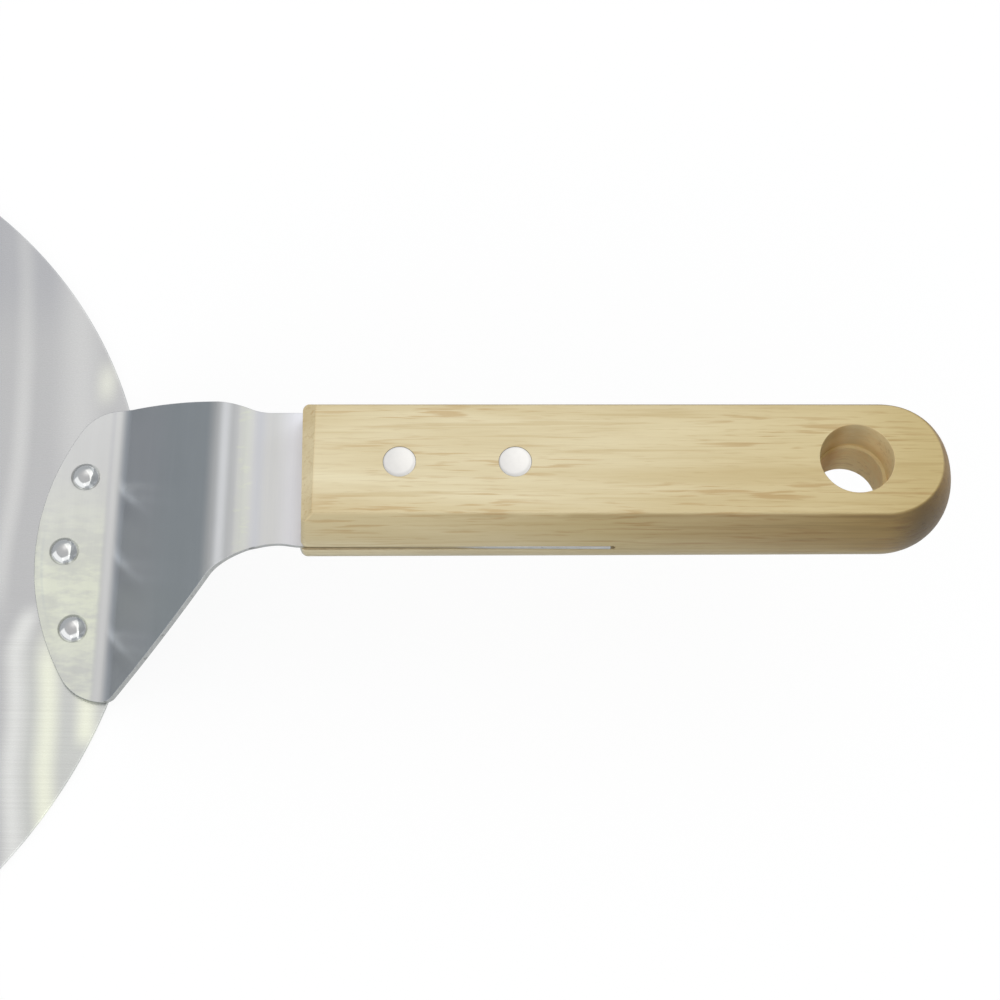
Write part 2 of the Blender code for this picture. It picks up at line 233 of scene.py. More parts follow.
def cut_away(pieces, tool):
    """Take a tool's shape out of pieces. The new walls keep the tool's finish."""
    for piece in pieces:
        apply_modifier(
            piece, "BOOLEAN", operation="DIFFERENCE", solver="EXACT", object=tool,
            material_mode="TRANSFER",
        )
    bpy.data.objects.remove(tool)


def merge_points(piece, reach):
    """Make points that lie closer than a distance one, and turn all faces outwards again."""
    use_only(piece)
    open_mesh()
    bpy.ops.mesh.select_mode(type="VERT")
    select_all()
    bpy.ops.mesh.remove_doubles(threshold=reach)
    face_outwards()
    close_mesh()


def settle(piece, location=(0, 0, 0), slope=0):
    """Put a piece in its place and move that place into its mesh."""
    use_only(piece)
    piece.location = Vector(location) + Vector(piece.location)
    piece.rotation_euler = (0, -slope, 0)
    bpy.ops.object.transform_apply(location=True, rotation=True, scale=True)


def smooth(piece):
    """Smooth shading that keeps flat faces flat."""
    use_only(piece)
    bpy.ops.object.shade_smooth_by_angle(angle=SMOOTH_ANGLE)
    apply_modifier(piece, "WEIGHTED_NORMAL", mode="FACE_AREA", weight=80, keep_sharp=True)


def draw_out(profile, extrude):
    """Extrude what is selected from row to row of a profile of radius and height."""
    for (old_radius, old_height), (radius, height) in zip(profile, profile[1:]):
        extrude(TRANSFORM_OT_translate={"value": (0, 0, height - old_height)})
        stretch(radius / old_radius, radius / old_radius, (0, 0, height))


def turned(name, profile, sides):
    """A round piece drawn out from its first row, closed at both ends."""
    radius, height = profile[0]
    piece = new_piece(
        name, bpy.ops.mesh.primitive_circle_add, vertices=sides, radius=radius,
        fill_type="NGON", location=(0, 0, height),
    )
    settle(piece)
    open_mesh()
    draw_out(profile, bpy.ops.mesh.extrude_region_move)
    face_outwards()
    close_mesh()
    return piece


def give_finish(piece, *names):
    for name in names:
        piece.data.materials.append(FINISHES[name])


def drill(pieces, profile, place, *finish):
    """Drill a round hole through pieces, with steps where its profile has them."""
    tool = turned("drill", profile, RIVET_SIDES)
    give_finish(tool, *finish)
    settle(tool, place)
    cut_away(pieces, tool)


def arc(centre, radius, start, end, steps):
    """Points of an arc in a plane, both ends included."""
    turn = (end - start) / steps
    return [
        Vector((
            centre[0] + radius * math.cos(start + turn * step),
            centre[1] + radius * math.sin(start + turn * step),
        ))
        for step in range(steps + 1)
    ]


# Disc


def make_disc():
    """A disc of sheet with its rim softened above and below."""
    disc = new_piece(
        "disc", bpy.ops.mesh.primitive_cylinder_add, vertices=DISC_SIDES, radius=DISC_RADIUS,
        depth=DISC_THICKNESS, location=(0, 0, DISC_THICKNESS / 2),
    )
    settle(disc)
    open_mesh()
    select("EDGE", lambda edge: abs(edge.verts[0].co.z - edge.verts[1].co.z) < NEAR)
    bpy.ops.mesh.bevel(offset=DISC_EDGE_ROUND, segments=4)
    select("FACE", lambda face: len(face.verts) == DISC_SIDES)
    bpy.ops.mesh.inset(thickness=DISC_RIM_BAND)
    close_mesh()
    return disc


# Shank


def strip_place(distance):
    """The place and slope of the sheet's middle, at a distance along it from the foot's tip."""
    x = FOOT_TIP_X
    z = FOOT_LIFT + SHEET / 2
    slope = 0
    high_turn = RISER_ANGLE - GRIP_PITCH
    for length, turn in (
        (FOOT_LENGTH, 0),
        (LOW_BEND_RADIUS * RISER_ANGLE, RISER_ANGLE),
        (RISER_LENGTH, 0),
        (HIGH_BEND_RADIUS * high_turn, -high_turn),
        (NECK_LENGTH + TANG_LENGTH, 0),
    ):
        run = min(distance, length)
        bend = turn * run / length
        chord = 2 * math.sin(bend / 2) * length / turn if turn else run
        x += chord * math.cos(slope + bend / 2)
        z += chord * math.sin(slope + bend / 2)
        slope += bend
        distance -= run
    return x, z, slope


RISER_START = FOOT_LENGTH + LOW_BEND_RADIUS * RISER_ANGLE
RISER_END = RISER_START + RISER_LENGTH
NECK_START = RISER_END + HIGH_BEND_RADIUS * (RISER_ANGLE - GRIP_PITCH)
GRIP_START = NECK_START + NECK_LENGTH
GRIP_SEAT_SPOT = (strip_place(GRIP_START)[0], 0, strip_place(GRIP_START)[1])


def left_of(first, first_reach, second, second_reach):
    """The point at set distances from two others, to the left of the way between them."""
    gap = (second - first).length
    along = (gap**2 + first_reach**2 - second_reach**2) / (2 * gap)
    forward = (second - first) / gap
    aside = Vector((-forward.y, forward.x))
    return first + forward * along + aside * math.sqrt(first_reach**2 - along**2)


def sheet_outline():
    """Half of the flat sheet's outline: distance from the foot's tip and half width."""
    low = Vector((RISER_START, RISER_HALF_LOW))
    high = Vector((RISER_END, RISER_HALF_HIGH))
    half_side = (high - low).length / 2
    side_radius = (half_side**2 + RISER_SIDE_BULGE**2) / (2 * RISER_SIDE_BULGE)
    side = left_of(high, side_radius, low, side_radius)
    tip = Vector((FOOT_TIP_RADIUS, 0))
    corner = left_of(
        side, side_radius - FOOT_CORNER_RADIUS, tip, FOOT_TIP_RADIUS - FOOT_CORNER_RADIUS
    )
    tip_end = math.atan2(corner.y - tip.y, corner.x - tip.x)
    side_start = math.atan2(corner.y - side.y, corner.x - side.x)
    outline = arc(tip, FOOT_TIP_RADIUS, math.pi, tip_end, FOOT_TIP_STEPS)[1:]
    outline += arc(corner, FOOT_CORNER_RADIUS, tip_end, side_start, FOOT_CORNER_STEPS)[1:]
    fillet_y = TANG_HALF_WIDTH + NECK_FILLET_RADIUS
    reach = side_radius + NECK_FILLET_RADIUS
    fillet = Vector((side.x + math.sqrt(reach**2 - (fillet_y - side.y) ** 2), fillet_y))
    side_end = math.atan2(fillet.y - side.y, fillet.x - side.x)
    outline += arc(side, side_radius, side_start, side_end, RISER_SIDE_STEPS)[1:]
    outline += arc(
        fillet, NECK_FILLET_RADIUS, side_end - math.pi, -math.pi / 2, NECK_FILLET_STEPS
    )[1:]
    outline.append(Vector((GRIP_START, TANG_HALF_WIDTH)))
    outline.append(Vector((GRIP_START + TANG_LENGTH, TANG_END_HALF_WIDTH)))
    return outline


def sheet_rows():
    """Rows across the sheet, at its outline's points, its bends' creases and its neck's dip."""
    outline = sheet_outline()
    places = {point.x for point in outline}
    for start, end, steps in (
        (FOOT_LENGTH, RISER_START, LOW_BEND_STEPS), (RISER_END, NECK_START, HIGH_BEND_STEPS),
    ):
        places |= {start + (end - start) * step / steps for step in range(steps + 1)}
    dip = GRIP_START - NECK_DIP_BACK
    places |= {
        dip + NECK_DIP_REACH * step / NECK_DIP_STEPS
        for step in range(-NECK_DIP_STEPS, NECK_DIP_STEPS + 1)
    }
    rows = []
    for place in sorted(places):
        for first, second in zip(outline, outline[1:]):
            if first.x <= place <= second.x:
                share = (place - first.x) / (second.x - first.x)
                half_width = first.y + (second.y - first.y) * share
        x, z, _ = strip_place(place)
        rows.append((Vector((x, 0, z)), half_width))
    return rows


def make_shank():
    """One sheet drawn out row by row over both bends, filed at its neck and given thickness."""
    rows = sheet_rows()
    spot, half_width = rows[0]
    shank = new_piece(
        "folded_shank", bpy.ops.mesh.primitive_plane_add, size=2 * half_width,
        location=spot - Vector((half_width, 0, 0)),
    )
    settle(shank)
    open_mesh()
    select("VERT", lambda vert: vert.co.x < spot.x - half_width)
    bpy.ops.mesh.delete(type="VERT")
    bpy.ops.mesh.select_mode(type="EDGE")
    select_all()
    for (old_spot, old_half), (spot, half_width) in zip(rows, rows[1:]):
        bpy.ops.mesh.extrude_edges_move(TRANSFORM_OT_translate={"value": spot - old_spot})
        stretch(1, half_width / old_half, spot)
    dip = strip_place(GRIP_START - NECK_DIP_BACK)[0]
    for spot, half_width in rows:
        away = (spot.x - dip) / NECK_DIP_REACH
        if abs(away) < 1:
            select("VERT", lambda vert: vert.co.y < 0 and abs(vert.co.x - spot.x) < WELD)
            bpy.ops.transform.translate(value=(0, NECK_DIP * (1 - away**2) ** 2, 0))
    face_outwards()
    close_mesh()
    if shank.data.polygons[0].normal.z < 0:
        open_mesh()
        bpy.ops.mesh.flip_normals()
        close_mesh()
    give_finish(shank, "satin_steel", "sheared_steel")
    apply_modifier(
        shank, "SOLIDIFY", thickness=SHEET, offset=0, use_even_offset=True, material_offset_rim=1
    )
    apply_modifier(
        shank, "BEVEL", width=SHEET_EDGE_ROUND, segments=3, limit_method="ANGLE",
        angle_limit=SHEET_EDGE_ANGLE, use_clamp_overlap=False,
    )
    return shank


# Foot rivets


def make_foot_rivet():
    """A round head cut from a ball, with a stem and a tail that is flush with the disc."""
    dome = FOOT_RIVET_HEIGHT - FOOT_RIVET_EDGE
    ball = (FOOT_RIVET_RADIUS**2 + dome**2) / (2 * dome)
    seat = FOOT_LIFT + SHEET
    rim = seat + FOOT_RIVET_EDGE
    rivet = new_piece(
        "foot_rivet_head", bpy.ops.mesh.primitive_uv_sphere_add, segments=RIVET_SIDES,
        ring_count=RIVET_SIDES, radius=ball, location=(0, 0, rim + dome - ball),
    )
    settle(rivet)
    open_mesh()
    slice_across((0, 0, rim), (0, 0, 1), clear_inner=True)
    select("EDGE", both_ends(lambda co: co.z < rim + NEAR))
    radius = max(vert.co.xy.length for vert in bmesh.from_edit_mesh(rivet.data).verts)
    stem, tail, collar = FOOT_RIVET_STEM, FOOT_RIVET_TAIL, FOOT_RIVET_COLLAR
    draw_out(
        [(radius, rim), (radius, seat), (stem, seat), (stem, collar), (tail, TAIL_EASE),
         (tail - TAIL_EASE, 0)],
        bpy.ops.mesh.extrude_edges_move,
    )
    bpy.ops.mesh.edge_face_add()
    face_outwards()
    close_mesh()
    return rivet


def drill_for_foot_rivets(sheets):
    """Drill the disc and the foot together, wider at the bottom for the tails."""
    stem, tail = FOOT_RIVET_STEM + RIVET_AIR, FOOT_RIVET_TAIL + RIVET_AIR
    profile = [
        (stem, 2 * FOOT_LIFT + SHEET), (stem, FOOT_RIVET_COLLAR), (tail, 0),
        (tail, -DISC_THICKNESS),
    ]
    for x, y in FOOT_RIVET_PLACES:
        drill(sheets, profile, (x, y, 0))


def place_foot_rivets(first):
    """Copy the first rivet, each copy with its own mesh, and set all three in the foot."""
    rivets = [first]
    for _ in FOOT_RIVET_PLACES[1:]:
        rivet = first.copy()
        rivet.data = first.data.copy()
        bpy.context.collection.objects.link(rivet)
        rivets.append(rivet)
    for number, (rivet, (x, y)) in enumerate(zip(rivets, FOOT_RIVET_PLACES), 1):
        rivet.name = f"foot_rivet_head_{number}"
        settle(rivet, (x, y, 0))
    return rivets


# Grip


def side_reach(height):
    """How far the grip's bulging side stands out at a height from its middle."""
    bulge = GRIP_HALF_WIDTH - GRIP_FACE_HALF_WIDTH
    radius = (GRIP_HALF_THICKNESS**2 + bulge**2) / (2 * bulge)
    return GRIP_HALF_WIDTH - radius + math.sqrt(radius**2 - height**2)


def on_spoke(place, turn):
    """Whether a point of the round end lies in one direction from its middle."""
    x = place.x - GRIP_ROUND_CENTRE
    third_of_step = math.pi / GRIP_END_STEPS / 3
    return x > NEAR and abs(math.atan2(place.y, x) - turn) < third_of_step


def make_block():
    """The block: bulged at its sides, spread low at its front end and rounded at its rear."""
    face = GRIP_FACE_HALF_WIDTH
    top = GRIP_HALF_THICKNESS
    block = new_piece("wooden_grip", bpy.ops.mesh.primitive_cube_add, size=2)
    block.scale = (GRIP_ROUND_CENTRE / 2, face, top)
    settle(block, (GRIP_ROUND_CENTRE / 2, 0, 0))
    open_mesh()
    heights = [top * step / GRIP_LAYERS for step in range(1 - GRIP_LAYERS, GRIP_LAYERS)]
    for height in heights:
        slice_across((0, 0, height), (0, 0, 1))
    for height in heights:
        select("VERT", lambda vert: abs(vert.co.z - height) < NEAR)
        stretch(1, side_reach(height) / face)
    for height in [step for step in heights if step < NEAR] + [-top]:
        select("VERT", lambda vert: abs(vert.co.z - height) < NEAR and vert.co.x < NEAR)
        stretch(1, 1 + (GRIP_LOW_SPREAD - 1) * min(1, 0.5 - height / (top / 2)))
    slice_across((0, 0, 0), (0, 1, 0))
    select("FACE", lambda part: part.normal.x > 0.9)
    bpy.ops.mesh.delete(type="FACE")
    select("EDGE", both_ends(lambda co: co.x > GRIP_ROUND_CENTRE - NEAR and co.y > -NEAR))
    bpy.ops.mesh.spin(
        steps=GRIP_END_STEPS, angle=math.pi, center=(GRIP_ROUND_CENTRE, 0, 0), axis=(0, 0, 1)
    )
    close_mesh()
    merge_points(block, NEAR)
    open_mesh()
    full = GRIP_END_FULLNESS
    for step in range(1, GRIP_END_STEPS):
        turn = math.pi * (step / GRIP_END_STEPS - 0.5)
        select("VERT", lambda vert: on_spoke(vert.co, turn))
        sides = abs(math.cos(turn)) ** full + abs(math.sin(turn)) ** full
        reach = sides ** (-1 / full)
        stretch(reach, reach, (GRIP_ROUND_CENTRE, 0, 0))
    close_mesh()
    return block


def shape_front(block):
    """Plane the chamfer off the front end's top, lean and skew the end and round its corners."""
    top = GRIP_HALF_THICKNESS
    use_only(block)
    open_mesh()
    slice_across((GRIP_FRONT_CHAMFER, 0, top), (-1, 0, 1), use_fill=True, clear_outer=True)
    select("VERT", lambda vert: vert.co.x < NEAR)
    lean = math.atan(GRIP_FRONT_LEAN / (2 * top))
    bpy.ops.transform.rotate(value=-lean, orient_axis="Y", center_override=(0, 0, top))
    for step in range(1, GRIP_FRONT_ROWS + 1):
        height = top * step / GRIP_LAYERS
        select("VERT", lambda vert: vert.co.x < NEAR and abs(vert.co.z - height) < NEAR)
        bpy.ops.transform.rotate(
            value=-GRIP_FRONT_SKEW * step / GRIP_FRONT_ROWS, orient_axis="Z",
            center_override=(0, GRIP_FRONT_SKEW_PIVOT, height),
        )
    corner = GRIP_FACE_HALF_WIDTH - NEAR
    select("EDGE", both_ends(lambda co: co.x < GRIP_FRONT_CHAMFER / 2 and abs(co.y) > corner))
    bpy.ops.mesh.bevel(offset=GRIP_FRONT_ROUND, segments=ROUND_STEPS)
    select("EDGE", both_ends(lambda co: co.x < NEAR and co.z < GRIP_EDGE_ROUND / 2 - top))
    bpy.ops.mesh.bevel(offset=JAW_ROUND, segments=ROUND_STEPS)
    close_mesh()
    merge_points(block, 3 * NEAR)


def saw_kerf(block):
    """Saw the slot for the tang, and let the jaw below it stand a little further out."""
    half = SHEET / 2 + KERF_AIR
    kerf = new_piece("kerf_tool", bpy.ops.mesh.primitive_cube_add, size=2)
    length = TANG_LENGTH + KERF_END_GAP + FRONT_CLEAR
    kerf.scale = (length / 2, 2 * GRIP_HALF_WIDTH, half)
    settle(kerf, (length / 2 - FRONT_CLEAR, 0, 0))
    open_mesh()
    select("EDGE", both_ends(lambda co: co.x > 0))
    bpy.ops.mesh.bevel(offset=half * KERF_CORNER, segments=3)
    close_mesh()
    give_finish(kerf, "sawn_wood")
    cut_away([block], kerf)
    use_only(block)
    open_mesh()
    select("VERT", lambda vert: vert.co.x < GRIP_FRONT_CHAMFER and vert.co.z < -half + NEAR)
    bpy.ops.transform.translate(value=(-JAW_REACH, 0, 0))
    close_mesh()


def bore_hanging_hole(block):
    """Bore the hole from both faces: eased mouths, and a ledge with a thin lip half way down."""
    top = GRIP_HALF_THICKNESS
    wide = HOLE_RADIUS
    narrow = wide - HOLE_LEDGE
    ledge = top - HOLE_LEDGE_DEPTH
    outline = [
        (radius + out, level + up)
        for radius, level, points in (
            (wide, top, HOLE_TOP_MOUTH), (wide, ledge, HOLE_LEDGE_EDGE),
            (narrow, ledge, HOLE_LIP), (narrow, -top, HOLE_LOW_MOUTH),
        )
        for out, up in points
    ]
    tool = turned("hole_tool", outline, HOLE_SIDES)
    open_mesh()
    select("VERT", lambda vert: vert.co.z < ledge + NEAR)
    bpy.ops.transform.translate(value=(-HOLE_DRIFT, 0, 0))
    close_mesh()
    give_finish(tool, "bored_wood")
    settle(tool, (GRIP_LENGTH - HOLE_FROM_END, 0, 0))
    cut_away([block], tool)


def make_grip():
    """The wooden grip, eased, sawn, bored for its rivets and set in its place."""
    block = make_block()
    shape_front(block)
    apply_modifier(
        block, "BEVEL", width=GRIP_EDGE_ROUND, segments=4, limit_method="ANGLE",
        angle_limit=GRIP_EDGE_ANGLE,
    )
    merge_points(block, 3 * NEAR)
    give_finish(block, "grip_wood")
    saw_kerf(block)
    bore_hanging_hole(block)
    top = GRIP_HALF_THICKNESS
    radius = GRIP_RIVET_RADIUS + RIVET_AIR
    for x, y in GRIP_RIVET_PLACES:
        drill([block], [(radius, 2 * top), (radius, -2 * top)], (x, y, 0), "sawn_wood")
    merge_points(block, 2 * WELD)
    settle(block, GRIP_SEAT_SPOT, GRIP_PITCH)
    return block


# Rivets through the grip


def make_grip_rivet(number, x, y):
    """A pin with two faintly domed ends, flush with the wood."""
    top = GRIP_HALF_THICKNESS
    radius = GRIP_RIVET_RADIUS
    crown = [
        (radius * share, top + GRIP_RIVET_DOME * (1 - share**2)) for share in GRIP_RIVET_ROWS
    ]
    crown += [(radius * share, top - drop) for share, drop in GRIP_RIVET_EDGE]
    underside = [(reach, -height) for reach, height in reversed(crown)]
    pin = turned(f"grip_rivet_pin_{number}", crown + underside, RIVET_SIDES)
    give_finish(pin, "pin_aluminium")
    settle(pin, (x, y, 0))
    settle(pin, GRIP_SEAT_SPOT, GRIP_PITCH)
    return pin


# Finishes


def node(beside, kind, inputs, **settings):
    """Add a node to the tree that a socket or node is in, and link or set its inputs."""
    tree = beside.id_data
    made = tree.nodes.new("ShaderNode" + kind)
    for name, value in settings.items():
        setattr(made, name, value)
    for name, value in inputs.items():
        if isinstance(value, bpy.types.NodeSocket):
            tree.links.new(value, made.inputs[name])
        else:
            made.inputs[name].default_value = value
    return made


def new_finish(name, colour, metallic, roughness, **values):
    """A finish whose constants sit on the shader, and the place on the object to paint by."""
    material = bpy.data.materials.new(name)
    material.use_nodes = True
    shader = material.node_tree.nodes["Principled BSDF"]
    shader.inputs["Base Color"].default_value = (*colour, 1)
    shader.inputs["Metallic"].default_value = metallic
    shader.inputs["Roughness"].default_value = roughness
    for socket, value in values.items():
        shader.inputs[socket.replace("_", " ")].default_value = value
    FINISHES[name] = material
    return shader, node(shader, "TexCoord", {}).outputs["Object"]


def feed(shader, name, socket):
    shader.id_data.links.new(socket, shader.inputs[name])


def split(place):
    """The X, Y and Z of a place."""
    return tuple(node(place, "SeparateXYZ", {0: place}).outputs)


def seen_from_grip(place):
    """The place seen from the grip's front end and along its slope."""
    moved = node(place, "VectorMath", {0: place, 1: GRIP_SEAT_SPOT}, operation="SUBTRACT")
    return node(
        moved, "Mapping", {"Vector": moved.outputs[0], "Rotation": (0, GRIP_PITCH, 0)}
    ).outputs[0]


def distance_from(place, spot):
    return node(place, "VectorMath", {0: place, 1: spot}, operation="DISTANCE").outputs["Value"]


def cloud(place, per_metre, detail=2, roughness=0.5, distortion=0):
    """Soft noise with its own number of waves per metre along X, Y and Z."""
    scaled = node(place, "Mapping", {"Vector": place, "Scale": per_metre})
    return node(
        place, "TexNoise",
        {"Vector": scaled.outputs[0], "Scale": 1, "Detail": detail, "Roughness": roughness,
         "Distortion": distortion},
    ).outputs[0]


def between(value, low, high, start=0, end=1):
    """A value from low to high, stretched to run from start to end, and held there."""
    return node(
        value, "MapRange",
        {"Value": value, "From Min": low, "From Max": high, "To Min": start, "To Max": end},
        interpolation_type="SMOOTHSTEP",
    ).outputs[0]


def until(value, low, high):
    """1 up to the low value, falling to 0 at the high one."""
    return between(value, low, high, 1, 0)


def unsigned(value):
    return node(value, "Math", {0: value}, operation="ABSOLUTE").outputs[0]


def minus(value, amount):
    return node(value, "Math", {0: value, 1: amount}, operation="SUBTRACT").outputs[0]


def times(first, second):
    return node(first, "Math", {0: first, 1: second}, operation="MULTIPLY").outputs[0]


def plus(first, second):
    return node(first, "Math", {0: first, 1: second}, operation="ADD").outputs[0]


def band(value, middle, reach):
    """A soft band: 1 where the value is at its middle, 0 from its reach on."""
    return until(unsigned(minus(value, middle)), 0, reach)


def blend(share, first, second, **settings):
    """Mix two colours, each a socket or red, green and blue."""
    first, second = (
        colour if isinstance(colour, bpy.types.NodeSocket) else (*colour, 1)
        for colour in (first, second)
    )
    beside = share if isinstance(share, bpy.types.NodeSocket) else first
    return node(
        beside, "Mix", {0: share, 6: first, 7: second}, data_type="RGBA", **settings
    ).outputs[2]


def tint(share, first, second):
    """Colour that goes from the first to the second as the share goes from 0 to 1."""
    return blend(share, first, second)


def multiplied(share, colour, other):
    """Colour multiplied by another, as far as the share says."""
    return blend(share, colour, other, blend_type="MULTIPLY")


def banded(colour, value, bands):
    """Colour multiplied in soft bands, each with its middle, reach and tone."""
    for middle, reach, tone in bands:
        colour = multiplied(band(value, middle, reach), colour, tone)
    return colour


def raise_surface(shader, height, distance):
    """Bump the surface by a height between 0 and 1 times a distance in metres."""
    bump = node(shader, "Bump", {"Height": height, "Distance": distance, "Strength": 1})
    feed(shader, "Normal", bump.outputs[0])


def paint(shader, colour, roughness):
    feed(shader, "Base Color", colour)
    feed(shader, "Roughness", roughness)


def spread_along(shader, axis):
    """Let reflections spread along one axis, across the brushing: 0 is X and 1 is Y."""
    across = node(shader, "CombineXYZ", {axis: 1})
    turned_with = node(
        shader, "VectorTransform", {0: across.outputs[0]},
        vector_type="VECTOR", convert_from="OBJECT", convert_to="WORLD",
    )
    feed(shader, "Tangent", turned_with.outputs[0])


# Steel of the disc, with painted reflections. Each painted reflection band has its middle and its
# reach along the lifter.
DISC_REFLECTION_LEAN = 0.088  # along the lifter, for each metre across it
DISC_REFLECTION_DRIFT = 0.0005
FAR_REFLECTION_BAND = (0.0973, 0.0036)
FAR_REFLECTION_RAMP = (0.1115, 0.0085)
NEAR_REFLECTION_BAND = (0.0957, 0.0043)
INNER_YELLOW_REFLECTION = (0.1036, 0.0044)
OUTER_YELLOW_REFLECTION = (0.1128, 0.004)
NEAR_SIDE = (-0.032, -0.016)  # across the lifter, past the foot's corner
NEAR_SHEEN = (0.0955, 0.0985)
FAR_DARKER_REFLECTION = (0.055, 0.08)


def make_disc_steel():
    """Brushed along the lifter, with painted soft bands of reflected light across it that bend
    beside the foot, a painted sheen and painted yellowish reflections on its near side, and a
    painted light patch and a painted darker reflection on its far side.
    """
    shader, place = new_finish("disc_steel", (0.54, 0.54, 0.54), 1, 0.28, Anisotropic=0.8)
    spread_along(shader, 1)
    lines = cloud(place, (14, 2600, 2600), 4, 0.65)
    drift = cloud(place, (12, 22, 22), 2, 0.5)
    broad = cloud(place, (40, 3, 3), 2, 0.5)
    x, y, _ = split(place)
    leaning = plus(x, times(y, DISC_REFLECTION_LEAN))
    leaning = plus(leaning, between(drift, 0.3, 0.7, -DISC_REFLECTION_DRIFT, DISC_REFLECTION_DRIFT))
    near = until(y, *NEAR_SIDE)

    # The painted reflection bands bend where they come near the foot
    far_line = plus(leaning, between(y, -0.012, 0.04, 0.006, 0))
    near_line = plus(leaning, between(y, -0.06, -0.038, 0.0012, 0))
    bent_line = plus(near_line, between(y, -0.028, -0.008, 0, -0.0056))
    far_reflection = times(band(far_line, *FAR_REFLECTION_BAND), between(y, -0.02, -0.005))
    far_reflection = times(far_reflection, between(y, 0.03, 0.085, 0.9, 0.45))
    far_reflection_ramp = times(band(leaning, *FAR_REFLECTION_RAMP), between(y, 0, 0.02, 0, 0.72))
    near_reflection = times(band(bent_line, *NEAR_REFLECTION_BAND), until(y, -0.019, -0.012))
    outer_yellow_reflection = times(band(near_line, *OUTER_YELLOW_REFLECTION), between(y, -0.052, -0.046))
    yellow_reflections = plus(band(near_line, *INNER_YELLOW_REFLECTION), outer_yellow_reflection)
    reflected_light_patch = times(band(x, 0.1143, 0.0042), band(y, 0.0475, 0.009))

    colour = tint(between(broad, 0.35, 0.65), (0.515, 0.515, 0.518), (0.55, 0.55, 0.552))
    # Painted darker reflection on the far side
    colour = multiplied(between(y, *FAR_DARKER_REFLECTION), colour, (0.9, 0.905, 0.93))
    # Painted sheen on the near side
    sheen = times(near, between(near_line, *NEAR_SHEEN))
    colour = tint(sheen, colour, (0.605, 0.614, 0.59))
    # Painted reflections: light bands across the disc
    colour = tint(plus(far_reflection, far_reflection_ramp), colour, (0.66, 0.66, 0.652))
    colour = tint(near_reflection, colour, (0.765, 0.77, 0.748))
    # Painted yellowish reflections on the near side
    colour = tint(times(yellow_reflections, near), colour, (0.86, 0.875, 0.74))
    # Painted patch of reflected light on the far side
    colour = tint(reflected_light_patch, colour, (0.73, 0.735, 0.67))
    brushed = between(lines, 0.3, 0.7, 0.96, 1.04)
    colour = multiplied(between(y, -0.03, 0, 1, 0.2), colour, brushed)
    paint(shader, colour, plus(times(lines, 0.08), 0.23))
    raise_surface(shader, lines, 0.0000012)


# Steel of the shank. Places are along the lifter, and tones multiply the steel's own colour.
FOOT_END = (0.116, 0.118)
FOOT_RIM = (FOOT_TIP_RADIUS - 0.0018, 0.0006)
LOW_CREASE_SHADE = (0.1171, 0.001, (0.92, 0.92, 0.94))
RISER_FOOT = (0.1188, 0.121)
RISER_TOP = (0.1444, 0.1478)
# Places of the painted streaks of reflected light on the riser
STREAK_PLACES = (0.1052, 0.0941, 0.0815)  # along a slant across the riser
HIGH_BEND_HIGHLIGHTS = (
    (0.1495, 0.0021, (1.42, 1.41, 1.42)),
    (0.1533, 0.0012, (1.07, 1.07, 1.05)),
    (0.1548, 0.0022, (1.02, 1.035, 0.98)),
)
NECK_SHADE = (0.1578, 0.0022, (0.94, 0.95, 1))
NECK_SHEEN = (0.161, 0.167)


def mottle_foot(colour, x, y, place, patches):
    """Mottled foot with painted warm light, painted shade at its near corner, and a thin dark line
    inside its rim.
    """
    warmth = cloud(place, (60, 75, 75), 2, 0.5)
    foot = until(x, *FOOT_END)
    # Painted warm light on the foot, with mottling in it
    warm = times(foot, until(y, -0.012, 0.03))
    colour = multiplied(warm, colour, (1.1, 1.12, 1.02))
    mottled = between(plus(patches, warmth), 0.82, 1.18)
    colour = multiplied(warm, colour, tint(mottled, (0.93, 0.93, 0.93), (1.09, 1.1, 1.03)))
    # Painted shade at the foot's near corner
    near_corner = times(foot, until(y, -0.031, -0.019))
    colour = multiplied(near_corner, colour, (0.955, 0.95, 0.99))
    tip_centre = (FOOT_TIP_X + FOOT_TIP_RADIUS, 0, FOOT_LIFT + SHEET)
    rim = times(band(distance_from(place, tip_centre), *FOOT_RIM), band(y, -0.006, 0.02))
    return multiplied(rim, colour, (0.93, 0.94, 0.97))


def darken_riser(colour, x, y):
    """Painted dark reflection on the riser, with painted slanting streaks of reflected light that
    start at the low bend and fade upwards, each with painted shade beside it.
    """
    riser = times(between(x, *RISER_FOOT), until(x, *RISER_TOP))
    dark = tint(between(x, 0.127, 0.137), (0.67, 0.7, 0.745), (0.63, 0.68, 0.72))
    # Painted dark reflection over the riser
    colour = multiplied(riser, colour, dark)
    slant = plus(times(x, 0.79), times(y, 0.61))
    fade = times(riser, until(x, 0.122, 0.132))
    beginning = until(x, 0.1215, 0.126)
    for middle in STREAK_PLACES:
        streak = times(fade, band(slant, middle, 0.0012))
        start = times(beginning, band(slant, middle + 0.0006, 0.002))
        below = times(fade, band(slant, middle - 0.0022, 0.003))
        # Each painted streak of reflected light is brightest at its start, with painted shade
        # beside it
        colour = multiplied(streak, colour, (1.18, 1.18, 1.18))
        colour = multiplied(times(start, riser), colour, (1.24, 1.24, 1.24))
        colour = multiplied(below, colour, (0.9, 0.9, 0.91))
    return colour


